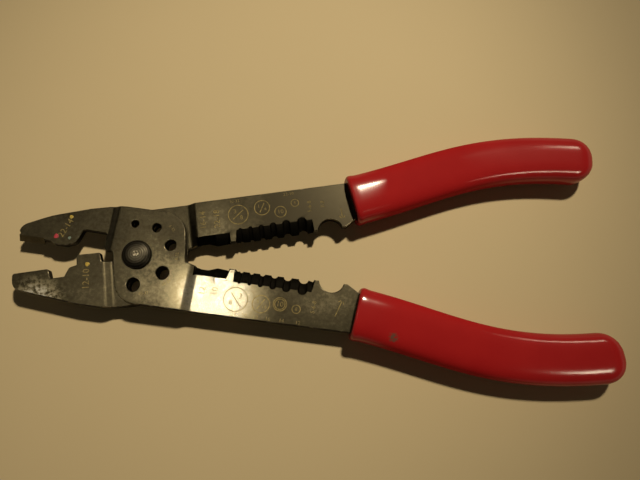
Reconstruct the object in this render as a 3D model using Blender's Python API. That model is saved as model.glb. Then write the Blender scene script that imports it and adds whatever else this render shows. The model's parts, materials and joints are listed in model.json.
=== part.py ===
"""Wire stripper and crimper: two stamped steel halves on one rivet, with vinyl grips.

Each half is drawn in its own closed frame, in millimetres: the pivot is the origin, +X runs along
the mating line to the grips, and +Y points to the side where that half's blade arm lies. The half
whose arm is on the other side is the same drawing with Y turned over. At rest the tool stands open,
with each half turned by half the opening angle about the rivet, lying flat on z = 0.
"""
import math

import bmesh
import bpy
from mathutils import Matrix, Vector
from mathutils.geometry import interpolate_bezier

MM = 0.001

# Overall sizes
JAW_REACH = 48.4            # pivot to the nose of the jaws
HANDLE_REACH = 195.9        # pivot to the tip of the grips, measured along the mating line
HALF_HEIGHT = 19.2          # mating line to the outer edge of a plate or arm
OPEN_ANGLE = 16.2           # degrees between the halves at rest, when the plates meet the joggles

# Steel stock
PLATE = 3.2                 # thickness
PLATE_GAP = 0.3             # play between the two plates at the pivot
MATE_GAP = 0.15             # each mating face stands this far off the mating line

# Pivot plates and the joggles that bring jaws and arms back to one level
JOGGLE_JAW = 10.4           # pivot to the start of the bend on the jaw side
JOGGLE_ARM = 20.4           # and on the arm side
JOGGLE_RUN = 3.9            # length of each bend along X
STOP_JAW_GAP = 0.9          # plate edge to the bend it stops against, on the jaw side
STOP_ARM_GAP = 1.6          # and on the arm side, where the edge leans a little to that bend
STOP_ARM_LEAN = 5.0         # degrees
JOGGLE_STEPS = 6            # flat strips in each bend
CORNER_JAW = 9.5            # radius of the plate corner on the jaw side
CORNER_ARM = 9.0            # radius of the plate corner on the arm side

# Rivet
SHANK_RADIUS = 3.2
BORE_GAP = 0.3              # shank to bore, and head to plate
HEAD_RADIUS = 5.75
HEAD_HEIGHT = 2.3
HEAD_EDGE = 0.6             # upright rim of each head
HEAD_FLAT = 2.2             # radius of the flat on top of each head
TAIL_RADIUS = 5.2

# Screw-shearing holes, in line through both plates when the tool is open
SHEAR_HOLES = ((98, 12.9, 1.45), (58.5, 13.0, 1.75), (17, 13.3, 2.15),
               (-35.5, 12.5, 2.5), (-93.5, 11.9, 2.5))      # degrees, distance, radius

# Crimping nests in the jaws: distances from the pivot, and from the mating line
NOSE_DROP = 6.3             # height of the nose before the back of the jaw starts to rise
NOSE_RADIUS = 4.5
PLATE_BACK = 15.5           # pivot to where the back of the jaw meets the edge of the plate
BACK_SWELL = 1.15           # how far the upper jaw's back stands out from a straight line
NEST_LOWER = (34.0, 28.9, 4.1)      # far wall, near wall and depth of the nest in the lower jaw
TOOTH_FACE = 24.0           # far wall of the lower jaw's tooth
TOOTH_RISE = 3.8            # how far that tooth crosses the mating line
TOOTH_GAP = 0.6             # tooth to the wall of the upper nest
NEST_DEPTH = 7.5            # depth of the nest in the upper jaw
NOSE_BEVEL = 2.1            # bevel on the upper nose
NOSE_BEVEL_FRONT = 1.1      # what is left of it round the front
NOSE_BEVEL_END = 38.2

# Blade arm, counted from the pivot
CUTTER_START = 23.0
CUTTER_END = 36.3
CUTTER_BEVEL = 4.3          # bevel width in plan, over the full thickness
RELIEF_DEPTH = 1.3          # hollow in the cutter's edge next to the plate
TAB_END = 39.0
STRIPPER_BEVEL = 5.1
STRIPPER_END = 70.4
NOTCHES = ((41.0, 0.68, 0.60), (45.1, 0.82, 0.70), (49.5, 1.02, 0.80),
           (54.4, 1.30, 1.00), (59.8, 1.60, 1.35), (66.3, 1.95, 1.65))   # place, half width, depth
DIE_CENTRE = 77.4
DIE_RADIUS = 5.1
DIE_DROP = 0.95             # centre of the die arc below the edge of the blade
CUSP_END = 84.0

# Grips
GRIP_MOUTH = 88.0           # pivot to the open end
GRIP_WIDTH = 20.8           # at the mouth
GRIP_TIP_WIDTH = 20.2
GRIP_THICK = 14.0
GRIP_FILLET = 4.4
GRIP_PULL = (0.36, 0.47)    # handles of its centre line, as shares of its length
GRIP_RISE = (4.2, 15.4, 2.8)    # first handle, second handle and tip above the mouth's centre
TIP_RADIUS = 9.6            # rounding of the closed end, in plan
TIP_CROWN = 5.4             # and in thickness
MOUTH_LIP = 0.9             # rounding of the open end
VINYL_SIDE = 2.3            # vinyl beside the tang
VINYL_END = 14.0            # tip of the grip past the end of the tang
TANG_GAP = 0.3
TANG_CORNER = 4.0           # radius of the corners at the tang's end
TANG_STEPS = 9
GRIP_STATIONS = 15
FILLET_STEPS = 4

POCKET_RUN_OUT = 3.0        # how far the pocket's cutter starts before the mouth

LINE_POINTS = 200           # on a grip's centre line
ARC_STEP = math.radians(15)
ROUND_SIDES = 32
WALL_STEP = 0.06            # an upright wall in the outline leans by this much
MID_Z = GRIP_THICK / 2      # level of the middle of jaws and arms
HALF_OPEN = math.radians(OPEN_ANGLE / 2)
TANG_HALF = GRIP_WIDTH / 2 - VINYL_SIDE


def material(name, color, roughness, metallic):
    mat = bpy.data.materials.new(name)
    mat.use_nodes = True
    shader = mat.node_tree.nodes["Principled BSDF"]
    shader.inputs["Base Color"].default_value = (*color, 1)
    shader.inputs["Roughness"].default_value = roughness
    shader.inputs["Metallic"].default_value = metallic
    return mat


def add_object(name, bm, mat=None, parent=None):
    """Turn a millimetre bmesh into a named object in metres."""
    bmesh.ops.recalc_face_normals(bm, faces=bm.faces)
    bm.transform(Matrix.Scale(MM, 4))
    mesh = bpy.data.meshes.new(name)
    bm.to_mesh(mesh)
    bm.free()
    mesh.shade_smooth()
    mesh.set_sharp_from_angle(angle=math.radians(30))
    obj = bpy.data.objects.new(name, mesh)
    bpy.context.scene.collection.objects.link(obj)
    obj.parent = parent
    if mat:
        mesh.materials.append(mat)
    return obj


def close_slab(bm, low, high):
    """Bottom, top and walls between two loops of as many points."""
    bm.faces.new(low)
    bm.faces.new(high)
    for i in range(len(low)):
        bm.faces.new((low[i - 1], low[i], high[i], high[i - 1]))


def hide_cutter(obj):
    obj.hide_render = True
    obj.display_type = "WIRE"


def cut(obj, cutter):
    modifier = obj.modifiers.new(cutter.name, "BOOLEAN")
    modifier.operation = "DIFFERENCE"
    modifier.solver = "EXACT"
    modifier.object = cutter


# ---------------------------------------------------------------- outlines

def arc(centre, radius, start, end):
    """Points on an arc, ends included."""
    steps = max(2, math.ceil(abs(end - start) / ARC_STEP))
    angles = [start + (end - start) * i / steps for i in range(steps + 1)]
    return [(centre[0] + radius * math.cos(a), centre[1] + radius * math.sin(a)) for a in angles]


def square(x, y):
    """An upright edge: the top face ends where the bottom face does."""
    return x, y


def rounded(corners):
    """Round a closed run of corners (x, y, radius, crown) into pairs of bottom and top points."""
    pairs = []
    for i, (x, y, radius, crown) in enumerate(corners):
        here = Vector((x, y))
        points = [(x, y)]
        if radius:
            before = (Vector(corners[i - 1][:2]) - here).normalized()
            after = (Vector(corners[(i + 1) % len(corners)][:2]) - here).normalized()
            half = before.angle(after) / 2
            middle = here + (before + after).normalized() * radius / math.sin(half)
            first = here + before * radius / math.tan(half) - middle
            last = here + after * radius / math.tan(half) - middle
            start = math.atan2(first.y, first.x)
            points = arc(middle, radius, start, start - first.angle_signed(last))
        pairs += [(point, crown(*point)) for point in points]
    return pairs


def edge_on(distance, y, lean=0):
    """X of a plate edge that lies square to the other half at that distance when open."""
    swing = math.radians(OPEN_ANGLE - lean)
    return (distance + y * math.sin(swing)) / math.cos(swing)


def jaw_stop(y):
    return edge_on(STOP_JAW_GAP - JOGGLE_JAW, y)


def arm_stop(y):
    return edge_on(JOGGLE_ARM - STOP_ARM_GAP, y, STOP_ARM_LEAN)


def lower_jaw_corners():
    """From the pivot plate out to the nose, along the lower jaw's working edge."""
    far, near, depth = NEST_LOWER
    wall = JOGGLE_JAW + JOGGLE_RUN
    return [(-wall, -MATE_GAP, 0.6, square),
            (-wall - TOOTH_GAP, TOOTH_RISE - 0.2, 0.5, square),
            (-TOOTH_FACE, TOOTH_RISE + 0.15, 0.9, square),
            (-TOOTH_FACE, -MATE_GAP, 0.3, square),
            (-near + 2.0, -MATE_GAP - 0.6, 1.4, square),
            (-near, -depth, 0.6, square),
            (-far, -depth, 0.4, square),
            (-far - 0.7, -MATE_GAP, 1.2, square),
            (-JAW_REACH, -MATE_GAP, 1.0, square),
            (-JAW_REACH - 0.2, -NOSE_DROP, NOSE_RADIUS, square)]


def nose_crown(x, y):
    """The bevel on the upper nose, which runs out round the front of it."""
    front = min(max((-x - JAW_REACH + 2) / 2, 0), 1)
    side = min(max((y + 2.5) / 2.5, 0), 1)
    return x + NOSE_BEVEL_FRONT * front, y - NOSE_BEVEL * side


def upper_jaw_corners():
    """The same run for the upper jaw: a nest, a rounded tooth, the bevelled nose and its back."""
    wall = JOGGLE_JAW + JOGGLE_RUN
    nose = NOSE_BEVEL_END
    far, near, _ = NEST_LOWER
    back = -(2 * JAW_REACH + PLATE_BACK) / 3
    straight = (HALF_HEIGHT - NOSE_DROP) * (back + JAW_REACH) / (JAW_REACH - PLATE_BACK)
    return [(-wall + 0.3, -MATE_GAP, 1.7, square),
            (-wall, -NEST_DEPTH + 0.2, 0.8, square),
            (-TOOTH_FACE + 0.3, -NEST_DEPTH, 0.9, square),
            (-TOOTH_FACE - 1.5, -1.6, 1.6, square),
            (-near - 0.5, -MATE_GAP, 1.6, square),
            (-far + 0.4, -MATE_GAP, 0.8, square),
            (-far - 0.9, -MATE_GAP - 0.9, 0.8, square),
            (-nose, -MATE_GAP - 1.1, 0, square),
            (-nose - WALL_STEP, -MATE_GAP, 0, nose_crown),
            (-JAW_REACH - 0.6, -MATE_GAP, 0.4, nose_crown),
            (-JAW_REACH - 0.2, -2.8, 0, nose_crown),
            (-JAW_REACH + 0.4, -NOSE_DROP, NOSE_RADIUS, square),
            (back, -NOSE_DROP - straight - BACK_SWELL, 40.0, square)]


def plate_corners():
    """The back of the jaw and the pivot plate, as far as the cutter."""
    start = MATE_GAP + RELIEF_DEPTH * 0.6
    return [(-PLATE_BACK, -HALF_HEIGHT, 45.0, square),
            (arm_stop(-HALF_HEIGHT), -HALF_HEIGHT, CORNER_JAW, square),
            (arm_stop(MATE_GAP), MATE_GAP, 0.6, square),
            (CUTTER_START - WALL_STEP, start, 0, square),
            (CUTTER_START, start, 0, cutter_crown)]


def cutter_crown(x, y):
    """The top of the cutter's bevel is straight, whatever its edge does."""
    return x, MATE_GAP + CUTTER_BEVEL


def stripper_crown(x, y):
    """The scallops run up the whole bevel."""
    return x, y + STRIPPER_BEVEL


def blade_corners():
    """The cutter's edge, with its hollow, and the tab after it."""
    return [(CUTTER_START + 1.9, MATE_GAP + RELIEF_DEPTH, 2.4, cutter_crown),
            (CUTTER_START + 4.8, MATE_GAP + RELIEF_DEPTH, 2.4, cutter_crown),
            (CUTTER_START + 8.2, MATE_GAP, 2.4, cutter_crown),
            (CUTTER_END, MATE_GAP, 0, cutter_crown),
            (CUTTER_END + WALL_STEP, MATE_GAP, 0, square),
            (TAB_END, MATE_GAP, 0, square)]


def stripper_corners():
    """The stripping edge: a scallop for each wire size."""
    points = [(TAB_END + WALL_STEP, MATE_GAP)]
    for place, half, depth in NOTCHES:
        radius = (half ** 2 + depth ** 2) / (2 * depth)
        spread = math.atan2(half, radius - depth)
        middle = (place, MATE_GAP + depth - radius)
        points += arc(middle, radius, math.pi / 2 + spread, math.pi / 2 - spread)
    points.append((STRIPPER_END, MATE_GAP))
    return [(x, y, 0, stripper_crown) for x, y in points]


def die_corners():
    """The first cusp, the round crimping die and the second cusp."""
    lift = math.asin(DIE_DROP / DIE_RADIUS)
    points = arc((DIE_CENTRE, MATE_GAP - DIE_DROP), DIE_RADIUS, math.pi - lift, lift)
    corners = [(STRIPPER_END + WALL_STEP, MATE_GAP, 0, square)]
    corners += [(x, y, 0, square) for x, y in points]
    return corners + [(CUSP_END, MATE_GAP, 0.9, square)]


# ---------------------------------------------------------------- centre line of a grip

def grip_line():
    """Start, two handles and end of the curve that a tang and its grip follow."""
    height = HALF_HEIGHT - TANG_HALF
    length = HANDLE_REACH - GRIP_MOUTH
    return (Vector((GRIP_MOUTH, height)),
            Vector((GRIP_MOUTH + length * GRIP_PULL[0], height + GRIP_RISE[0])),
            Vector((HANDLE_REACH - length * GRIP_PULL[1], height + GRIP_RISE[1])),
            Vector((HANDLE_REACH, height + GRIP_RISE[2])))


def grip_path():
    """The centre line as a function of the distance from the mouth, and its length.

    The function gives a point and the direction across the grip there. It runs straight on
    before the mouth.
    """
    line = interpolate_bezier(*grip_line(), LINE_POINTS)
    travelled = [0.0]
    for a, b in zip(line, line[1:]):
        travelled.append(travelled[-1] + (b - a).length)

    def at(distance):
        i = 1
        while i < LINE_POINTS - 1 and travelled[i] < distance:
            i += 1
        step = line[i] - line[i - 1]
        share = (distance - travelled[i - 1]) / step.length
        return line[i - 1] + step * share, Vector((-step.y, step.x)).normalized()

    return at, travelled[-1]


def grip_half_width(distance, length):
    share = distance / length
    return (GRIP_WIDTH * (1 - share) + GRIP_TIP_WIDTH * share) / 2


def tang_sides(clearance, start):
    """Both sides of the tang, each a list of points from the start to the tang's end."""
    at, length = grip_path()
    end = length - VINYL_END + clearance
    outer = []
    inner = []
    for i in range(TANG_STEPS + 1):
        distance = start + (end - start) * i / TANG_STEPS
        point, across = at(distance)
        half = grip_half_width(distance, length) - VINYL_SIDE + clearance
        outer.append(point + across * half)
        inner.append(point - across * half)
    return outer, inner


def tang_corners():
    """The end of the half that the grip covers, from its inner side round to its outer side."""
    outer, inner = tang_sides(0, 0)
    run = [(*p, 0, square) for p in inner[:-1]]
    run += [(*inner[-1], TANG_CORNER, square), (*outer[-1], TANG_CORNER, square)]
    run += [(*p, 0, square) for p in reversed(outer[:-1])]
    return run


# ---------------------------------------------------------------- steel halves

def half_outline(jaw_corners):
    """The whole outline of one half, counterclockwise, as pairs of bottom and top points."""
    back = [(jaw_stop(HALF_HEIGHT), HALF_HEIGHT, CORNER_ARM, square),
            (jaw_stop(-MATE_GAP), -MATE_GAP, 0.8, square)]
    arm = blade_corners() + stripper_corners() + die_corners() + tang_corners()
    return rounded(plate_corners() + arm + back + jaw_corners)


def joggle(x):
    """How far the plate stands off the level of jaws and arms: 0 there, 1 at the pivot."""
    left = (x + JOGGLE_JAW + JOGGLE_RUN) / JOGGLE_RUN
    right = (JOGGLE_ARM + JOGGLE_RUN - x) / JOGGLE_RUN
    share = min(max(min(left, right), 0), 1)
    return share * share * (3 - 2 * share)


def bend_lines():
    starts = (-JOGGLE_JAW - JOGGLE_RUN, JOGGLE_ARM)
    return [start + JOGGLE_RUN * i / JOGGLE_STEPS for start in starts for i in range(JOGGLE_STEPS + 1)]


def stamped_half(name, jaw_corners, side, mat, parent):
    """A half with its arm on the +Y side (side 1) or the -Y side (side -1)."""
    bm = bmesh.new()
    outline = half_outline(jaw_corners)
    low = [bm.verts.new((x, y * side, -PLATE / 2)) for (x, y), _ in outline]
    high = [bm.verts.new((x, y * side, PLATE / 2)) for _, (x, y) in outline]
    close_slab(bm, low, high)
    bm.normal_update()
    bmesh.ops.triangulate(bm, faces=bm.faces)
    for x in bend_lines():
        parts = bm.verts[:] + bm.edges[:] + bm.faces[:]
        bmesh.ops.bisect_plane(bm, geom=parts, plane_co=(x, 0, 0), plane_no=(1, 0, 0), dist=1e-5)
    lift = -side * (PLATE + PLATE_GAP) / 2
    for vert in bm.verts:
        vert.co.z += lift * joggle(vert.co.x)
    return add_object(name, bm, mat, parent)


# ---------------------------------------------------------------- rivet and holes

def turned(name, profile, mat=None, parent=None):
    """A solid of revolution about Z, from (radius, z) points that run upwards."""
    bm = bmesh.new()
    rings = []
    for radius, z in profile:
        turns = [math.tau * k / ROUND_SIDES for k in range(ROUND_SIDES)]
        rings.append([bm.verts.new((radius * math.cos(a), radius * math.sin(a), z)) for a in turns])
    for lower, upper in zip(rings, rings[1:]):
        for k in range(ROUND_SIDES):
            bm.faces.new((lower[k - 1], lower[k], upper[k], upper[k - 1]))
    bm.faces.new(rings[0])
    bm.faces.new(rings[-1])
    return add_object(name, bm, mat, parent)


def head_profile(radius, seat, top):
    """From the seat to the flat top of a domed rivet head; top may lie below the seat."""
    way = 1 if top > seat else -1
    rim = seat + way * HEAD_EDGE
    dome = [(radius, seat)]
    for i in range(4):
        angle = math.pi / 2 * i / 3
        across = HEAD_FLAT + (radius - HEAD_FLAT) * math.cos(angle)
        dome.append((across, rim + (top - rim) * math.sin(angle)))
    return dome


def pivot_rivet(mat):
    """Shank through both bores, with a head above and a formed head that reaches the bench."""
    plate_face = PLATE + PLATE_GAP / 2 + BORE_GAP
    head = head_profile(HEAD_RADIUS, plate_face, plate_face + HEAD_HEIGHT)
    tail = head_profile(TAIL_RADIUS, -plate_face, -MID_Z)
    profile = tail[::-1] + [(SHANK_RADIUS, -plate_face), (SHANK_RADIUS, plate_face)] + head
    rivet = turned("pivot_rivet", profile, mat)
    rivet.location.z = MID_Z * MM
    return rivet


def hole_punch():
    """Cutter for the pivot bore and the shearing holes, in line through both open halves."""
    bm = bmesh.new()
    reach = 4 * PLATE
    spots = [(0, 0, SHANK_RADIUS + BORE_GAP)]
    for degrees, distance, radius in SHEAR_HOLES:
        angle = math.radians(degrees)
        spots.append((distance * math.cos(angle), distance * math.sin(angle), radius))
    for x, y, radius in spots:
        bmesh.ops.create_cone(bm, cap_ends=True, segments=ROUND_SIDES, radius1=radius, radius2=radius,
                              depth=reach, matrix=Matrix.Translation((x, y, 0)))
    punch = add_object("hole_punch", bm)
    punch.location.z = MID_Z * MM
    hide_cutter(punch)
    return punch


# ---------------------------------------------------------------- grips

def section(half_width, half_thick, fillet):
    """A rounded box section as (across, up) points."""
    fillet = min(fillet, half_width - 0.2, half_thick - 0.2)
    points = []
    for quarter in range(4):
        sx, sy = ((1, 1), (-1, 1), (-1, -1), (1, -1))[quarter]
        middle = (sx * (half_width - fillet), sy * (half_thick - fillet))
        for i in range(FILLET_STEPS + 1):
            angle = math.pi / 2 * (quarter + i / FILLET_STEPS)
            points.append((middle[0] + fillet * math.cos(angle), middle[1] + fillet * math.sin(angle)))
    return points


def shrink(distance, radius):
    """How far a round end of that radius has drawn in, at a distance from its tip."""
    left = max(radius - distance, 0)
    return radius - math.sqrt(radius ** 2 - left ** 2)


def grip_rings():
    """(distance, half width, half thickness) of each station from mouth to tip."""
    at, length = grip_path()
    distances = [0, MOUTH_LIP * 0.3, MOUTH_LIP]
    body_end = length - TIP_RADIUS
    distances += [MOUTH_LIP + (body_end - MOUTH_LIP) * i / GRIP_STATIONS
                  for i in range(1, GRIP_STATIONS + 1)]
    distances += [length - TIP_RADIUS * share for share in (0.7, 0.45, 0.25, 0.1, 0.0)]
    rings = []
    for distance in distances:
        to_tip = max(length - distance, 0)
        lip = shrink(distance, MOUTH_LIP)
        half_width = grip_half_width(distance, length) - shrink(to_tip, TIP_RADIUS) - lip
        rings.append((distance, half_width, GRIP_THICK / 2 - shrink(to_tip, TIP_CROWN) - lip))
    return at, rings


def vinyl_grip(name, side, mat, parent):
    """A sleeve over the tang: open at the mouth, closed and round at the tip."""
    at, rings = grip_rings()
    bm = bmesh.new()
    loops = []
    for distance, half_width, half_thick in rings:
        point, across = at(distance)
        loop = []
        for out, up in section(half_width, half_thick, GRIP_FILLET):
            spot = point + across * out
            loop.append(bm.verts.new((spot.x, spot.y * side, up)))
        loops.append(loop)
    for first, second in zip(loops, loops[1:]):
        for k in range(len(first)):
            bm.faces.new((first[k - 1], first[k], second[k], second[k - 1]))
    bm.faces.new(loops[0])
    bm.faces.new(loops[-1])
    grip = add_object(name, bm, mat, parent)
    cut(grip, tang_pocket(name + "_pocket", side, parent))
    return grip


def tang_pocket(name, side, parent):
    """Cutter for the space in the sleeve: the tang and its clearance, out past the mouth."""
    outer, inner = tang_sides(TANG_GAP, -POCKET_RUN_OUT)
    outline = outer + inner[::-1]
    height = PLATE / 2 + TANG_GAP
    bm = bmesh.new()
    low = [bm.verts.new((p.x, p.y * side, -height)) for p in outline]
    high = [bm.verts.new((p.x, p.y * side, height)) for p in outline]
    close_slab(bm, low, high)
    pocket = add_object(name, bm, parent=parent)
    hide_cutter(pocket)
    return pocket


# ---------------------------------------------------------------- assembly

def swing_empty(name, side):
    """Frame of one half: on the pivot axis, turned by half the opening."""
    empty = bpy.data.objects.new(name, None)
    bpy.context.scene.collection.objects.link(empty)
    empty.location.z = MID_Z * MM
    empty.rotation_euler.z = side * HALF_OPEN
    return empty


def clear_scene():
    for obj in list(bpy.data.objects):
        bpy.data.objects.remove(obj)


def build():
    clear_scene()
    steel = material("dark_steel", (0.16, 0.14, 0.10), 0.35, 1.0)
    rivet_steel = material("rivet_steel", (0.20, 0.18, 0.14), 0.32, 1.0)
    vinyl = material("red_vinyl", (0.55, 0.02, 0.03), 0.25, 0.0)
    punch = hole_punch()
    arm_up = swing_empty("lower_jaw_frame", 1)
    arm_down = swing_empty("upper_jaw_frame", -1)
    lower = stamped_half("lower_jaw_half", lower_jaw_corners(), 1, steel, arm_up)
    upper = stamped_half("upper_jaw_half", upper_jaw_corners(), -1, steel, arm_down)
    cut(lower, punch)
    cut(upper, punch)
    pivot_rivet(rivet_steel)
    vinyl_grip("upper_grip", 1, vinyl, arm_up)
    vinyl_grip("lower_grip", -1, vinyl, arm_down)


build()
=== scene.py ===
import json
import math

import bmesh
import bpy
from mathutils import Matrix, Vector
from mathutils.geometry import interpolate_bezier


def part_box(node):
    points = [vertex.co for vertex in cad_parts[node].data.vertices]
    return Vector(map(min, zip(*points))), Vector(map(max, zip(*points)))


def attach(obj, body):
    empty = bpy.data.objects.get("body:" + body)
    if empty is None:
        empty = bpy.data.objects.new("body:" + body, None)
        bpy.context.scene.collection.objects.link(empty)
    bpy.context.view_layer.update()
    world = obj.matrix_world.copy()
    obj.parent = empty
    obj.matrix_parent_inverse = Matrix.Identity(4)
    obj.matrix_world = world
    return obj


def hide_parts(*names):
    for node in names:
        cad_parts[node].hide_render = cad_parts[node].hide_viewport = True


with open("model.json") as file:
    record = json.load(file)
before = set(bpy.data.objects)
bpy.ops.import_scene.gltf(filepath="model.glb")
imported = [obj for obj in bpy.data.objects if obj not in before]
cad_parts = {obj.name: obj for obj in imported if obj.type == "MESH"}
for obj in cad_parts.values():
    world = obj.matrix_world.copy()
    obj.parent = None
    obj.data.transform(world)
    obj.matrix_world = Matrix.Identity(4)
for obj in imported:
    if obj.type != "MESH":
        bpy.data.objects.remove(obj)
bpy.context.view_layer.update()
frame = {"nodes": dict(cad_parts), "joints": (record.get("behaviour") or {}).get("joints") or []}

# Shapes are worked out in millimetres in the frame of one half: the pivot is the origin, +X runs
# along that half's mating line to the grips, and Z counts from the middle of jaws and arms.
MM = 0.001
SWING = math.radians(frame["joints"][0]["range_deg"][1]) / 2     # each half's turn at rest
MID_Z = sum(corner.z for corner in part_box("upper_grip")) / 2 / MM
LOWER_JAW_TURN = SWING       # its arm lies on the +Y side
UPPER_JAW_TURN = -SWING

# Steel
PLATE = 3.2                  # thickness of the stamped stock
PLATE_TOP = 3.35             # top of the upper pivot plate
FLAT_TOP = PLATE / 2         # top of jaws and arms
EDGE_ROUND = 0.42            # rounding that stamping leaves on every edge
EDGE_STEPS = 3
WALL_LEAN = 0.2              # a face whose normal rises less than this is an upright wall
BLADES = (22.5, 70.6)        # cutter and stripper, from and to along X
BLADE_HEIGHT = 9.0           # and how far they reach from the mating line
# The CUT slot is the near-black finish of walls and bevels, painted dark as shade.
FACE, EDGE, CUT, MARK = range(4)     # material slots of a half

# Stamped marks
MARK_DEPTH = 0.14
MARK_CLEAR = 0.5             # how far a cutter stands out of the steel
LINE_WIDTH = 0.36            # of rings, bars and arrows
CAP_SHARE = 0.72             # height of a figure as a share of its type size
NOTCH_GAUGES = (("22", 41.0), ("20", 45.1), ("18", 49.5), ("16", 54.4), ("14", 59.8), ("12", 66.3))

# Rivet
SHANK_RADIUS = 3.2
HEAD_SEAT = PLATE_TOP + 0.3  # where the heads start
HEAD_FLAT = 0.9              # radius of the flat on top of the head
TAIL_FLAT = 2.2              # and on the tail
TAIL_SHARE = 0.905           # radius of the tail as a share of the head's
RIM_HEIGHT = 0.5             # upright rim of each head
RIM_CORNER = 0.12

# Grips
GRIP_MOUTH = 88.0
GRIP_END = 195.9
GRIP_WIDTH = (20.8, 20.2)    # at the mouth and at the tip
GRIP_THICK = 14.0
GRIP_AXIS = 11.1             # mating line to the centre line at the mouth
GRIP_PULL = (0.36, 0.47)     # reach of the centre line's two handles, as shares of its length
GRIP_RISE = (4.2, 15.4, 2.8)     # how far its handles and its end stand out
GRIP_SIDES = 64
GRIP_POWER = 3.0             # squareness of the section: 2 is an ellipse
WAIST = 1.2                  # how much thinner the middle is than the mouth
WAIST_RUN = 22.0             # how soon after the mouth
TIP_GAIN = 0.9               # what the tip has of that again
LIP = (0.7, 1.5, 1.6)        # rise of the lip, its place behind the mouth and its spread
MOUTH_ROUND = (1.9, 2.2)     # run and depth of the rounding at the mouth
TIP_RUN = 9.6                # length of the round end
TIP_DRAW = (9.2, 5.4)        # how far it draws in, across and up
TANG_WIDTH = 16.2
TANG_PLAY = 0.12
TANG_END = 14.0              # before the tip
TANG_POWER = 12.0            # a hollow with nearly square corners

WARM = (1.0, 0.86, 0.62)     # colour of all the light


# ---------------------------------------------------------------- surface finishes

class Reading:
    """A value that varies over a surface. Arithmetic on it adds Math nodes."""

    def __init__(self, nodes, socket):
        self.nodes = nodes
        self.socket = socket

    def __add__(self, other):
        return self.nodes.math("ADD", self, other)

    def __radd__(self, other):
        return self.nodes.math("ADD", other, self)

    def __sub__(self, other):
        return self.nodes.math("SUBTRACT", self, other)

    def __rsub__(self, other):
        return self.nodes.math("SUBTRACT", other, self)

    def __mul__(self, other):
        return self.nodes.math("MULTIPLY", self, other)

    def __rmul__(self, other):
        return self.nodes.math("MULTIPLY", other, self)

    def __pow__(self, other):
        return self.nodes.math("POWER", self, other)

    def __abs__(self):
        return self.nodes.math("ABSOLUTE", self)


class Nodes:
    """A node tree that is built up from expressions."""

    def __init__(self, tree, shader, coordinates):
        self.tree = tree
        self.shader = tree.nodes[shader]
        self.place = self.node("ShaderNodeTexCoord", output=coordinates)
        self.axes = None

    def node(self, kind, settings=None, inputs=None, output=0):
        node = self.tree.nodes.new(kind)
        for name, value in (settings or {}).items():
            if name == "stops":
                self.set_stops(node.color_ramp, value)
            else:
                setattr(node, name, value)
        for name, value in (inputs or {}).items():
            self.feed(node.inputs[name], value)
        return Reading(self, node.outputs[output])

    def set_stops(self, ramp, stops):
        while len(ramp.elements) < len(stops):
            ramp.elements.new(1.0)
        for element, (position, color) in zip(ramp.elements, stops):
            element.position = position
            element.color = (*color, 1)

    def feed(self, socket, value):
        if isinstance(value, Reading):
            self.tree.links.new(value.socket, socket)
        elif isinstance(value, tuple) and socket.type == "RGBA":
            socket.default_value = (*value, 1)
        else:
            socket.default_value = value

    def feed_shader(self, **values):
        for name, value in values.items():
            self.feed(self.shader.inputs[name.replace("_", " ")], value)

    def math(self, operation, *values):
        return self.node("ShaderNodeMath", {"operation": operation}, dict(enumerate(values)))

    def along(self, axis):
        """How far the place lies along an axis, 0 to 2."""
        if self.axes is None:
            self.axes = self.node("ShaderNodeSeparateXYZ", None, {"Vector": self.place})
        return Reading(self, self.axes.socket.node.outputs[axis])

    def ramp(self, value, low, high, start=0.0, end=1.0):
        """Goes smoothly from start to end while the value goes from low to high."""
        return self.node("ShaderNodeMapRange", {"interpolation_type": "SMOOTHSTEP"},
                         {"Value": value, "From Min": low, "From Max": high, "To Min": start,
                          "To Max": end})


class Finish(Nodes):
    """A material. Places on it are counted from the pivot in millimetres."""

    def __init__(self, name):
        self.material = bpy.data.materials.new(name)
        self.material.use_nodes = True
        super().__init__(self.material.node_tree, "Principled BSDF", "Object")
        self.place = self.node("ShaderNodeVectorMath", {"operation": "SCALE"},
                               {"Vector": self.place, "Scale": 1 / MM})

    def stretched(self, x, y, z):
        """The place, with each axis scaled, so that a texture is finer along one than another."""
        return self.node("ShaderNodeVectorMath", {"operation": "MULTIPLY"},
                         {0: self.place, 1: (x, y, z)})

    def noise(self, size, detail=2.0, roughness=0.5, place=None):
        """Cloudy variation from 0 to 1, with blotches of about that size in millimetres."""
        return self.node("ShaderNodeTexNoise", None,
                         {"Vector": place or self.place, "Scale": 1 / size, "Detail": detail,
                          "Roughness": roughness})

    def spot(self, x, y, inner, outer):
        """1 within the inner distance of a place in plan, 0 beyond the outer distance."""
        across = self.along(0) - x
        up = self.along(1) - y
        distance = (across * across + up * up) ** 0.5
        return self.ramp(distance, inner, outer, 1.0, 0.0)

    def blend(self, share, first, second):
        """From the first colour to the second as the share goes from 0 to 1."""
        return self.node("ShaderNodeMix", {"data_type": "RGBA"},
                         {"Factor": share, 6: first, 7: second}, output=2)

    def graded(self, value, *stops):
        """Colours at places between 0 and 1, with even blends between them."""
        return self.node("ShaderNodeValToRGB", {"stops": stops}, {"Fac": value})

    def relief(self, height, depth):
        """Raise and sink the surface, by a height that goes from 0 to 1 times the depth."""
        bump = self.node("ShaderNodeBump", None,
                         {"Height": height, "Strength": 1.0, "Distance": depth * MM})
        self.feed_shader(Normal=bump)

    def surface(self, color, roughness):
        self.feed_shader(Base_Color=color, Roughness=roughness)
        return self.material


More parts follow.
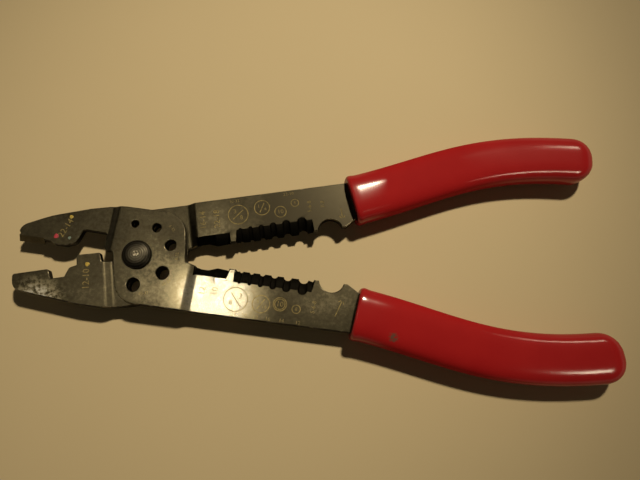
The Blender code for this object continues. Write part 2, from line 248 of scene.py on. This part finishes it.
def blackened_steel():
    """Oiled black oxide, worn through to a brassy grey where hands and work touch it, with painted
    highlight where the lamps' reflections fall and painted shade at the +Y arm's far end.
    """
    finish = Finish("blackened_steel")
    finish.feed_shader(Metallic=1.0)
    patches = finish.noise(13.0, 4.0, 0.6)
    mottle = finish.noise(1.5, 5.0, 0.7)
    grain = finish.noise(0.22, 2.0, 0.6)
    drawn = finish.noise(1.0, 3.0, 0.6, finish.stretched(0.12, 3.2, 3.2))
    # Brighter steel on the -Y arm near the pivot, where the left lamp's reflection falls: worn
    # metal, and painted highlight shaped to that reflection.
    rubbed_and_highlight = finish.spot(32.0, -17.0, 7.0, 26.0) * 0.66
    nose = finish.spot(-38.0, -19.0, 2.0, 14.0) * finish.ramp(mottle, 0.34, 0.58) * 0.9
    # The jaw, plate and arm spots below also brighten the steel where the lamps' reflections fall:
    # painted highlight on top of worn metal.
    jaw = finish.spot(-26.0, -13.0, 6.0, 18.0) * 0.06
    plate = finish.spot(6.0, -8.0, 4.0, 20.0) * 0.18
    arms = finish.spot(29.0, 13.0, 3.0, 16.0) * 0.12 + finish.spot(76.0, -13.0, 4.0, 20.0) * 0.22
    # Darker steel at the far end of the arm on the +Y side, near its grip: painted shade.
    far_arm_shade = finish.spot(88.0, 25.0, 22.0, 56.0) * 0.26
    blotches = (patches - 0.5) * 0.4 + (mottle - 0.5) * (0.55 - rubbed_and_highlight * 0.5)
    # The sum sets the colour: random blotches and worn metal, plus the painted highlights of the
    # spots and the painted shade at the +Y arm's far end.
    wear_and_painted_light = blotches + rubbed_and_highlight + nose + jaw + plate + arms - far_arm_shade + 0.15
    color = finish.graded(wear_and_painted_light, (0.0, (0.030, 0.026, 0.017)), (0.25, (0.070, 0.061, 0.038)),
                          (0.60, (0.25, 0.22, 0.14)), (1.0, (0.62, 0.60, 0.53)))
    rough = 0.37 - rubbed_and_highlight * 0.14 - (patches - 0.5) * 0.14 + (grain - 0.5) * 0.10
    finish.relief(grain * 0.55 + mottle * 0.25 + drawn * 0.2, 0.03)
    return finish.surface(color, rough)


def worn_edge():
    """The rounded edges of the stampings, where the oxide has gone in places."""
    finish = Finish("worn_edge")
    finish.feed_shader(Metallic=1.0)
    chips = finish.ramp(finish.noise(3.5, 5.0, 0.7), 0.46, 0.68)
    grain = finish.noise(0.25, 2.0)
    color = finish.blend(chips, (0.035, 0.030, 0.020), (0.26, 0.23, 0.15))
    finish.relief(grain, 0.02)
    return finish.surface(color, 0.36 - chips * 0.10 + (grain - 0.5) * 0.08)


def shaded_black_cut():
    """The walls that stamping cut and the ground bevels: black oxide, painted near black as shade,
    with fine lines across.
    """
    finish = Finish("shaded_black_cut")
    finish.feed_shader(Metallic=1.0)
    lines = finish.noise(0.35, 3.0, 0.7, finish.stretched(1.0, 0.07, 0.07))
    stain = finish.noise(4.0, 4.0, 0.6)
    # Near black, far darker than the oxide on the faces: painted shade for walls and bevels that
    # face away from the lamps.
    color = finish.blend(lines * 0.6 + stain * 0.4, (0.001, 0.001, 0.001), (0.008, 0.007, 0.005))
    finish.relief(lines, 0.05)
    return finish.surface(color, 0.58 + (stain - 0.5) * 0.2)


def stamped_figure():
    """The floor of stamped figures and rings, where dried oil has gathered."""
    finish = Finish("stamped_figure")
    finish.feed_shader(Metallic=0.0, Specular_IOR_Level=0.2)
    dirt = finish.noise(1.2, 4.0, 0.6)
    color = finish.blend(finish.ramp(dirt, 0.3, 0.7), (0.12, 0.095, 0.03), (0.32, 0.25, 0.09))
    finish.relief(dirt, 0.02)
    return finish.surface(color, 0.62 + (dirt - 0.5) * 0.2)


def rivet_steel():
    """Turned rivet head: dark round the rim, rings from the forming tool, worn bright on top."""
    finish = Finish("rivet_steel")
    finish.feed_shader(Metallic=1.0)
    x = finish.along(0)
    y = finish.along(1)
    radius = (x * x + y * y) ** 0.5
    rings = finish.math("SINE", radius * 7.0 + finish.noise(2.5, 3.0) * 2.2) * 0.5 + 0.5
    mottle = finish.noise(0.8, 5.0, 0.75)
    bright = finish.ramp(radius, 0.3, 1.9, 1.0, 0.0) * finish.ramp(mottle, 0.40, 0.62)
    worn = finish.ramp(radius, 1.6, 4.8, 0.30, 0.05) + bright * 0.7 + (rings - 0.5) * 0.12
    color = finish.graded(worn + (mottle - 0.5) * 0.3, (0.0, (0.020, 0.018, 0.014)),
                          (0.45, (0.10, 0.09, 0.065)), (1.0, (0.52, 0.47, 0.36)))
    finish.relief(rings * 0.6 + mottle * 0.4, 0.07)
    return finish.surface(color, 0.42 - bright * 0.14 + (mottle - 0.5) * 0.16)


def red_vinyl():
    """Dipped vinyl, glossy at both ends and worn dull where the hand closes."""
    finish = Finish("red_vinyl")
    finish.feed_shader(Metallic=0.0, Specular_IOR_Level=0.05, Coat_Roughness=0.15)
    reach = finish.along(0) * math.cos(SWING) + abs(finish.along(1)) * math.sin(SWING)
    dull = finish.ramp(reach, 91.0, 104.0) * finish.ramp(reach, 135.0, 175.0, 1.0, 0.0)
    cloud = finish.noise(16.0, 4.0, 0.6)
    skin = finish.noise(1.3, 3.0, 0.5)
    pores = finish.noise(0.3, 2.0, 0.5)
    scratches = finish.noise(0.8, 6.0, 0.8) * finish.spot(99.6, -33.4, 0.0, 6.5)
    scuff = finish.ramp(scratches, 0.40, 0.47)
    color = finish.blend(cloud, (0.27, 0.006, 0.008), (0.34, 0.012, 0.012))
    color = finish.blend(scuff * 0.85, color, (0.070, 0.060, 0.042))
    rough = 0.55 + dull * 0.10 + (cloud - 0.5) * 0.08 + (pores - 0.5) * 0.05
    gloss = (1 - dull) * (1 - scuff) * (0.66 + (cloud - 0.5) * 0.7)
    finish.feed_shader(Coat_Weight=gloss)
    finish.relief(skin * 0.8 + pores * 0.2, 0.02)
    return finish.surface(color, rough)


def paint(name, color):
    """A drop of enamel, chipped a little."""
    finish = Finish(name)
    finish.feed_shader(Metallic=0.0)
    chips = finish.noise(0.5, 4.0, 0.7)
    dark = tuple(part * 0.45 for part in color)
    finish.relief(chips, 0.03)
    return finish.surface(finish.blend(finish.ramp(chips, 0.35, 0.6), dark, color),
                          0.42 + (chips - 0.5) * 0.3)


# ---------------------------------------------------------------- making and placing pieces

def to_world(turn):
    """From millimetres in a half's frame to metres at rest."""
    lift = Matrix.Translation((0, 0, MID_Z))
    return Matrix.Scale(MM, 4) @ Matrix.Rotation(turn, 4, "Z") @ lift


def new_piece(name, bm, turn, body, slot, *materials):
    """A bmesh drawn in a half's frame becomes a piece that rides on a body."""
    bm.transform(to_world(turn))
    mesh = bpy.data.meshes.new(name)
    bm.to_mesh(mesh)
    bm.free()
    for material in materials:
        mesh.materials.append(material)
    piece = bpy.data.objects.new(name, mesh)
    bpy.context.scene.collection.objects.link(piece)
    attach(piece, body)
    return piece


def smooth(piece, degrees=38):
    """Shade smooth, with the flats staying flat next to their rounded edges: every corner takes the
    mean direction of the faces round it that turn away by less than the angle, by their areas."""
    mesh = piece.data
    limit = math.cos(math.radians(degrees))
    meeting = [[] for vertex in mesh.vertices]
    for face in mesh.polygons:
        for corner in face.vertices:
            meeting[corner].append(face)
    directions = []
    for face in mesh.polygons:
        for corner in face.vertices:
            near = [other for other in meeting[corner] if other.normal.dot(face.normal) > limit]
            total = sum((other.normal * other.area for other in near), Vector())
            directions.append(total.normalized())
    mesh.shade_smooth()
    mesh.normals_split_custom_set(directions)


def settled_mesh(obj):
    """The mesh of an object with its modifiers worked out."""
    graph = bpy.context.evaluated_depsgraph_get()
    return bpy.data.meshes.new_from_object(obj.evaluated_get(graph), depsgraph=graph)


def bridge(bm, rings):
    """Walls between each ring of points and the next."""
    for lower, upper in zip(rings, rings[1:]):
        for k in range(len(lower)):
            bm.faces.new((lower[k - 1], lower[k], upper[k], upper[k - 1]))


def around(sides):
    """The cosine and sine of even turns round a circle."""
    turns = [math.tau * k / sides for k in range(sides)]
    return [(math.cos(turn), math.sin(turn)) for turn in turns]


# ---------------------------------------------------------------- stamped marks

class Marks:
    """Closed cutters for figures, rings, bars and arrows, all sunk into one half."""

    def __init__(self):
        self.bm = bmesh.new()

    def loop(self, points, z):
        return [self.bm.verts.new((x, y, z)) for x, y in points]

    def bar(self, x, y, angle, length, level=FLAT_TOP):
        along = Vector((math.cos(angle), math.sin(angle))) * length / 2
        across = Vector((-math.sin(angle), math.cos(angle))) * LINE_WIDTH / 2
        middle = Vector((x, y))
        corners = [middle - along - across, middle + along - across,
                   middle + along + across, middle - along + across]
        low = self.loop(corners, level - MARK_DEPTH)
        high = self.loop(corners, level + MARK_CLEAR)
        self.bm.faces.new(low[::-1])
        self.bm.faces.new(high)
        bridge(self.bm, (low, high))

    def ring(self, x, y, radius, level=FLAT_TOP, sides=40):
        low, high = level - MARK_DEPTH, level + MARK_CLEAR
        loops = []
        for reach, z in ((radius, low), (radius, high), (radius - LINE_WIDTH, high),
                         (radius - LINE_WIDTH, low)):
            loops.append(self.loop([(x + reach * c, y + reach * s) for c, s in around(sides)], z))
        bridge(self.bm, [loops[-1], *loops])

    def figures(self, text, x, y, degrees, height, level=FLAT_TOP):
        curve = bpy.data.curves.new("figures", "FONT")
        curve.body = text
        curve.size = height / CAP_SHARE
        curve.align_x = "CENTER"
        curve.align_y = "CENTER"
        curve.resolution_u = 2
        curve.extrude = (MARK_CLEAR + MARK_DEPTH) / 2
        obj = bpy.data.objects.new("figures", curve)
        bpy.context.scene.collection.objects.link(obj)
        mesh = settled_mesh(obj)
        mesh.transform(Matrix.Translation((x, y, level + (MARK_CLEAR - MARK_DEPTH) / 2))
                       @ Matrix.Rotation(math.radians(degrees), 4, "Z"))
        self.bm.from_mesh(mesh)
        bpy.data.objects.remove(obj)
        bpy.data.curves.remove(curve)
        bpy.data.meshes.remove(mesh)

    def cutter(self, turn, material):
        bmesh.ops.remove_doubles(self.bm, verts=self.bm.verts, dist=1e-4)
        self.bm.transform(to_world(turn))
        mesh = bpy.data.meshes.new("marks")
        self.bm.to_mesh(mesh)
        self.bm.free()
        mesh.materials.append(material)
        cutter = bpy.data.objects.new("marks", mesh)
        bpy.context.scene.collection.objects.link(cutter)
        return cutter


def sized_ring(marks, x, y, radius, top, bottom, bar_degrees):
    """A ring with a stud size in it, written as a fraction over a slanting bar."""
    marks.ring(x, y, radius)
    if not bottom:
        marks.figures(top, x, y, 0, radius * 0.75)
        return
    angle = math.radians(bar_degrees)
    marks.bar(x, y, angle, radius * 1.35)
    aside = Vector((-math.sin(angle), math.cos(angle))) * radius * 0.45
    marks.figures(top, x + aside.x, y + aside.y, 0, radius * 0.44)
    marks.figures(bottom, x - aside.x, y - aside.y, 0, radius * 0.44)


def arrow(marks, x, y, degrees, length):
    """A line with a two-stroke head at its end."""
    angle = math.radians(degrees)
    marks.bar(x, y, angle, length)
    tip = Vector((x, y)) + Vector((math.cos(angle), math.sin(angle))) * (length / 2 + 0.5)
    for side in (1, -1):
        back = angle + math.pi + side * math.radians(38)
        away = Vector((math.cos(back), math.sin(back))) * 0.95
        spread = Vector((-math.sin(angle), math.cos(angle))) * -side * 0.22
        marks.bar(tip.x + away.x + spread.x, tip.y + away.y + spread.y, back, 1.2)


def lower_jaw_marks():
    """Figures on the lower jaw and on the arm behind it."""
    marks = Marks()
    marks.figures("12-10", -20.5, -6.4, 86, 2.6)
    marks.figures("16-14", 26.6, 11.2, 88, 2.4)
    marks.figures("22-18", 32.2, 11.0, 88, 2.4)
    sized_ring(marks, 40.9, 11.6, 4.2, "3", "8", 38)
    sized_ring(marks, 50.9, 13.2, 3.3, "1", "4", 60)
    sized_ring(marks, 58.2, 10.4, 2.5, "10", "", 0)
    sized_ring(marks, 64.6, 13.4, 1.75, "8", "", 0)
    marks.figures("22-10", 62.5, 17.6, 0, 1.4)
    marks.figures("10-32", 40.0, 17.5, 0, 1.3)
    marks.figures("5-6-8", 70.4, 11.0, 86, 1.7)
    marks.figures("7-8", 76.0, 11.2, 86, 1.7)
    arrow(marks, 83.2, 6.4, -90, 4.0)
    return marks


def upper_jaw_marks():
    """Figures on the upper jaw, round the pivot plate and on the arm behind it."""
    marks = Marks()
    marks.figures("22-14", -30.7, 7.3, 70, 2.5)
    marks.figures("12", 27.4, -10.4, 88, 2.6)
    marks.figures("10", 32.2, -10.0, 88, 2.6)
    sized_ring(marks, 40.8, -12.0, 4.9, "3", "8", -50)
    sized_ring(marks, 50.9, -12.5, 3.6, "5", "16", 58)
    sized_ring(marks, 58.3, -11.6, 2.8, "10", "", 0)
    marks.ring(58.3, -11.6, 2.2)
    sized_ring(marks, 64.9, -12.7, 1.8, "8", "", 0)
    for gauge, place in NOTCH_GAUGES:
        marks.figures(gauge, place, -17.9, 0, 1.5)
    marks.figures("5-6-8", 71.6, -11.0, 86, 1.7)
    arrow(marks, 81.4, -10.4, 72, 6.5)
    for screw, x, y, degrees in (("10-24", 13.4, -9.4, 42), ("10-32", 5.6, -14.6, 12),
                                 ("8-32", 15.4, 1.6, 92), ("6-32", 11.2, 12.6, -40)):
        marks.figures(screw, x, y, degrees, 1.2, PLATE_TOP)
    return marks


# ---------------------------------------------------------------- steel halves

def is_rim(edge):
    """An edge where a face meets an upright wall, which stamping leaves rounded."""
    if len(edge.link_faces) != 2:
        return False
    first, second = (face.normal for face in edge.link_faces)
    upright = min(abs(first.z), abs(second.z)) < WALL_LEAN
    level = max(abs(first.z), abs(second.z)) > 0.55
    return upright and level and math.radians(50) < first.angle(second, 0) < math.radians(115)


def on_blades(face, turn):
    """Whether a face lies along the cutter or the stripper."""
    middle = Matrix.Rotation(-turn, 3, "Z") @ face.calc_center_median() / MM
    return BLADES[0] < middle.x < BLADES[1] and abs(middle.y) < BLADE_HEIGHT


def shaded_black(face, turn):
    """Whether a face is a cut wall, or one of the bevels of the cutter and the stripper: the faces
    that are painted near black as shade.
    """
    rise = abs(face.normal.z)
    return rise < WALL_LEAN or (on_blades(face, turn) and rise < 0.95)


def steel_half(node, turn, body, marks, finishes):
    """The stamping with rounded edges, its bevels told apart and its figures sunk in."""
    bm = bmesh.new()
    bm.from_mesh(frame["nodes"][node].data)
    bmesh.ops.remove_doubles(bm, verts=bm.verts, dist=1e-7)
    bmesh.ops.dissolve_limit(bm, angle_limit=math.radians(0.6), verts=bm.verts, edges=bm.edges)
    bm.normal_update()
    # Cut walls and blade bevels get the near-black finish that is painted shade.
    for face in bm.faces:
        face.material_index = CUT if shaded_black(face, turn) else FACE
    rims = [edge for edge in bm.edges if is_rim(edge)]
    bmesh.ops.bevel(bm, geom=rims, offset=EDGE_ROUND * MM, segments=EDGE_STEPS, profile=0.5,
                    affect="EDGES", clamp_overlap=False, material=EDGE)
    # Rounded edges along the blades take the same near-black painted shade.
    for face in bm.faces:
        if face.material_index == EDGE and on_blades(face, turn):
            face.material_index = CUT
    bm.transform(to_world(turn).inverted())
    half = new_piece(node + "_steel", bm, turn, body, "dark_steel", *finishes)
    cutter = marks.cutter(turn, finishes[MARK])
    cut = half.modifiers.new("marks", "BOOLEAN")
    cut.operation = "DIFFERENCE"
    cut.solver = "EXACT"
    cut.material_mode = "TRANSFER"
    cut.object = cutter
    half.data = settled_mesh(half)
    half.modifiers.clear()
    bpy.data.objects.remove(cutter)
    smooth(half)
    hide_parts(node)


def paint_drop(name, x, y, turn, body, radius, material):
    """A shallow, uneven drop of paint that marks which terminals a nest is for."""
    bm = bmesh.new()
    sides = 24
    steps = 4
    uneven = [1 + 0.10 * math.sin(3 * math.tau * k / sides + radius * 9) for k in range(sides)]
    rings = []
    for step in range(steps):
        climb = math.pi / 2 * step / steps
        reach = radius * math.cos(climb)
        z = FLAT_TOP + 0.01 + 0.09 * math.sin(climb)
        rings.append([bm.verts.new((x + reach * out * c, y + reach * out * s, z))
                      for out, (c, s) in zip(uneven, around(sides))])
    bm.faces.new(rings[0][::-1])
    bm.faces.new(rings[-1])
    bridge(bm, rings)
    drop = new_piece(name, bm, turn, body, "dark_steel", material)
    drop.data.shade_smooth()


# ---------------------------------------------------------------- rivet

def rivet(body, material):
    """Shank and two domed heads, turned from the sizes of the CAD rivet."""
    low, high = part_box("pivot_rivet")
    head = high.x / MM
    top = high.z / MM - MID_Z
    bottom = low.z / MM - MID_Z

    def dome(radius, level, summit, flat):
        """Upright rim with a soft corner, then a shallow dome to its flat top."""
        way = 1 if summit > level else -1
        rise = abs(summit - level)
        points = [(radius - RIM_CORNER, level), (radius, level + way * RIM_CORNER),
                  (radius, level + way * RIM_HEIGHT)]
        steps = 12
        for i in range(1, steps + 1):
            angle = math.pi / 2 * i / steps
            reach = flat + (radius - flat) * math.cos(angle) ** 0.92
            height = RIM_HEIGHT + (rise - RIM_HEIGHT) * math.sin(angle)
            points.append((reach, level + way * height))
        return points

    profile = dome(head * TAIL_SHARE, -HEAD_SEAT, bottom, TAIL_FLAT)[::-1]
    profile += [(SHANK_RADIUS, -HEAD_SEAT), (SHANK_RADIUS, HEAD_SEAT)]
    profile += dome(head, HEAD_SEAT, top, HEAD_FLAT)
    bm = bmesh.new()
    rings = [[bm.verts.new((radius * c, radius * s, z)) for c, s in around(96)]
             for radius, z in profile]
    bridge(bm, rings)
    bm.faces.new(rings[0][::-1])
    bm.faces.new(rings[-1])
    piece = new_piece("pivot_rivet_steel", bm, 0.0, body, "rivet_steel", material)
    smooth(piece, 50)
    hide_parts("pivot_rivet")


# ---------------------------------------------------------------- grips

def grip_path():
    """The centre line as a function of the distance from the mouth, and its length."""
    length = GRIP_END - GRIP_MOUTH
    near = GRIP_MOUTH + length * GRIP_PULL[0]
    far = GRIP_END - length * GRIP_PULL[1]
    line = interpolate_bezier(Vector((GRIP_MOUTH, GRIP_AXIS)),
                              Vector((near, GRIP_AXIS + GRIP_RISE[0])),
                              Vector((far, GRIP_AXIS + GRIP_RISE[1])),
                              Vector((GRIP_END, GRIP_AXIS + GRIP_RISE[2])), 240)
    travelled = [0.0]
    for a, b in zip(line, line[1:]):
        travelled.append(travelled[-1] + (b - a).length)

    def at(distance):
        i = 1
        while i < len(line) - 1 and travelled[i] < distance:
            i += 1
        step = line[i] - line[i - 1]
        share = (distance - travelled[i - 1]) / step.length
        return line[i - 1] + step * share, Vector((-step.y, step.x)).normalized()

    return at, travelled[-1]


def drawn_in(distance, run, depth):
    """How far a round end has drawn in, at a distance from its tip."""
    left = max(run - distance, 0) / run
    return depth * (1 - math.sqrt(1 - min(left, 1) ** 2))


def squarish(half_width, half_thick, power):
    """A box section with round corners, as (across, up) points."""
    points = []
    for c, s in around(GRIP_SIDES):
        out = math.copysign(abs(c) ** (2 / power), c)
        up = math.copysign(abs(s) ** (2 / power), s)
        points.append((half_width * out, half_thick * up))
    return points


def sleeve(name, node, turn, body, material):
    """Dipped vinyl: a lip at the mouth, soft shoulders, a round closed end, hollow for the tang."""
    side = 1 if turn > 0 else -1
    at, length = grip_path()
    bm = bmesh.new()
    rings = []

    def station(distance, half_width, half_thick, power):
        point, across = at(distance)
        ring = []
        for out, up in squarish(half_width, half_thick, power):
            spot = point + across * out
            ring.append(bm.verts.new((spot.x, spot.y * side, up)))
        rings.append(ring)

    tang_stop = length - TANG_END
    for distance in (tang_stop, tang_stop * 0.75, tang_stop * 0.5, tang_stop * 0.25, 4.0, 0.5):
        station(distance, TANG_WIDTH / 2 + TANG_PLAY, PLATE / 2 + TANG_PLAY, TANG_POWER)
    mouth = [0.05, 0.12, 0.3, 0.6, 1.0, 1.5, 2.2, 3.0, 4.0]
    run = length - TIP_RUN - mouth[-1]
    outer = mouth + [mouth[-1] + run * i / 34 for i in range(1, 35)]
    outer += [length - TIP_RUN * math.cos(math.pi / 2 * i / 10) ** 1.3 for i in range(1, 10)]
    outer.append(length - 0.22)
    for distance in outer:
        share = distance / length
        to_tip = length - distance
        width = GRIP_WIDTH[0] * (1 - share) + GRIP_WIDTH[1] * share
        rise, place, spread = LIP
        lip = rise * math.exp(-((distance - place) / spread) ** 2)
        lip = (lip - drawn_in(distance, *MOUTH_ROUND)) / 2
        swell = WAIST * math.exp(-(distance / WAIST_RUN) ** 1.5) + TIP_GAIN * share ** 3 - WAIST
        half_width = width / 2 + lip - 0.1 - drawn_in(to_tip, TIP_RUN, TIP_DRAW[0])
        half_thick = GRIP_THICK / 2 + lip + swell - drawn_in(to_tip, TIP_RUN * 0.8, TIP_DRAW[1])
        station(distance, half_width, min(half_thick, GRIP_THICK / 2), GRIP_POWER)
    bridge(bm, rings)
    bm.faces.new(rings[0])
    bm.faces.new(rings[-1])
    bmesh.ops.recalc_face_normals(bm, faces=bm.faces)
    grip = new_piece(name, bm, turn, body, "red_vinyl", material)
    grip.data.shade_smooth()
    grip.data.set_sharp_from_angle(angle=math.radians(60))
    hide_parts(node)


# ---------------------------------------------------------------- stage, light and camera

def floor():
    """A wide pale floor just under the tool."""
    finish = Finish("pale_floor")
    shade = finish.noise(60.0, 3.0)
    finish.surface(finish.blend(shade, (0.61, 0.495, 0.295), (0.635, 0.515, 0.31)), 0.75)
    mesh = bpy.data.meshes.new("floor")
    size = 3.0
    mesh.from_pydata([(-size, -size, 0), (size, -size, 0), (size, size, 0), (-size, size, 0)], [],
                     [(0, 1, 2, 3)])
    mesh.materials.append(finish.material)
    ground = bpy.data.objects.new("floor", mesh)
    ground.location.z = -0.0001
    bpy.context.scene.collection.objects.link(ground)
    return ground


def hang(name, data, power, place, aim, lit):
    """Put a light in place, aimed at a place on the floor. It reaches only what lit lets it."""
    data.energy = power
    data.color = WARM
    light = bpy.data.objects.new(name, data)
    light.location = place
    toward = Vector((*aim, 0)) - light.location
    light.rotation_euler = toward.to_track_quat("-Z", "Y").to_euler()
    bpy.context.scene.collection.objects.link(light)
    if lit:
        light.light_linking.receiver_collection = lit


def lamp(name, over, slant, height, radius, power, beam=160.0, aim=(0.08, 0.0), lit=None):
    """A round lamp. The slant is how far it stands off a place in plan, which is given in
    millimetres, along X and Y for each unit of its height. The beam is in degrees."""
    data = bpy.data.lights.new(name, "SPOT")
    data.shadow_soft_size = radius
    data.spot_size = math.radians(beam)
    data.spot_blend = 1.0
    x, y = (spot * MM + lean * height for spot, lean in zip(over, slant))
    hang(name, data, power, (x, y, height + MID_Z * MM), aim, lit)


def panel(name, place, size, power, lit):
    data = bpy.data.lights.new(name, "AREA")
    data.size = size
    hang(name, data, power, place, (0.0, 0.0), lit)


def sky():
    """Dim overhead and brighter round the horizon, like the walls of a room."""
    world = bpy.data.worlds.new("studio")
    world.use_nodes = True
    room = Nodes(world.node_tree, "Background", "Generated")
    room.feed_shader(Color=WARM, Strength=room.ramp(room.along(2), 0.0, 0.45, 0.45, 0.016))
    bpy.context.scene.world = world


def studio(ground):
    """Two key lamps for tool and floor, and fill that is flagged off the floor."""
    sky()
    bpy.context.scene.view_settings.view_transform = "Standard"
    flagged = bpy.data.collections.new("floor_spared")
    flagged.objects.link(ground)
    flagged.collection_objects[0].light_linking.link_state = "EXCLUDE"
    lamp("key", over=(90, 0), slant=(0.27, 0.59), height=1.0, radius=0.045, power=17.0)
    lamp("key_pool", over=(90, 0), slant=(0.27, 0.59), height=1.0, radius=0.045, power=31.0,
         beam=21.0, aim=(0.045, 0.04))
    lamp("over_left", over=(30, -12), slant=(-0.18, 0.145), height=0.75, radius=0.03, power=3.0,
         beam=14.0, aim=(-0.005, -0.008), lit=flagged)
    lamp("far_right_back", over=(160, -25), slant=(0.72, 0.85), height=0.7, radius=0.05,
         power=1.8, lit=flagged)
    lamp("front_right", over=(165, 0), slant=(0.62, -0.42), height=0.7, radius=0.055,
         power=3.6, lit=flagged)
    panel("soft_left", place=(-0.38, 0.20, 0.8), size=0.32, power=0.26, lit=flagged)


def camera():
    """Close above the tool, leaning back a little from its near side."""
    data = bpy.data.cameras.new("camera")
    data.lens = 28.0
    data.sensor_width = 36.0
    view = bpy.data.objects.new("camera", data)
    roll, pan, tilt = (math.radians(degrees) for degrees in (-0.11, -3.0, 14.74))
    turn = (Matrix.Rotation(tilt, 3, "X") @ Matrix.Rotation(pan, 3, "Y")
            @ Matrix.Rotation(roll, 3, "Z"))
    place = turn @ Vector((72.15, 6.7, 199.2)) + Vector((0, 0, MID_Z))
    view.matrix_world = Matrix.Translation(place * MM) @ turn.to_4x4()
    bpy.context.scene.collection.objects.link(view)
    bpy.context.scene.camera = view


def build():
    lower = LOWER_JAW_TURN, "lower_jaw_body"
    upper = UPPER_JAW_TURN, "upper_jaw_body"
    # The first finish carries painted highlights and painted shade in its spots; the third paints
    # walls and bevels near black as shade.
    finishes = [blackened_steel(), worn_edge(), shaded_black_cut(), stamped_figure()]
    steel_half("lower_jaw_half", *lower, lower_jaw_marks(), finishes)
    steel_half("upper_jaw_half", *upper, upper_jaw_marks(), finishes)
    yellow = paint("yellow_paint", (0.50, 0.36, 0.05))
    red = paint("red_paint", (0.42, 0.03, 0.05))
    blue = paint("blue_paint", (0.16, 0.22, 0.18))
    paint_drop("lower_jaw_yellow_drop", -19.8, -0.5, *lower, 0.85, yellow)
    paint_drop("upper_jaw_yellow_drop", -29.7, 12.1, *upper, 0.75, yellow)
    paint_drop("upper_jaw_red_drop", -33.6, 3.5, *upper, 0.95, red)
    paint_drop("upper_jaw_blue_drop", -28.3, 3.5, *upper, 0.6, blue)
    rivet("lower_jaw_body", rivet_steel())
    vinyl = red_vinyl()
    sleeve("upper_grip_sleeve", "upper_grip", *lower, vinyl)
    sleeve("lower_grip_sleeve", "lower_grip", *upper, vinyl)


build()
studio(floor())
camera()
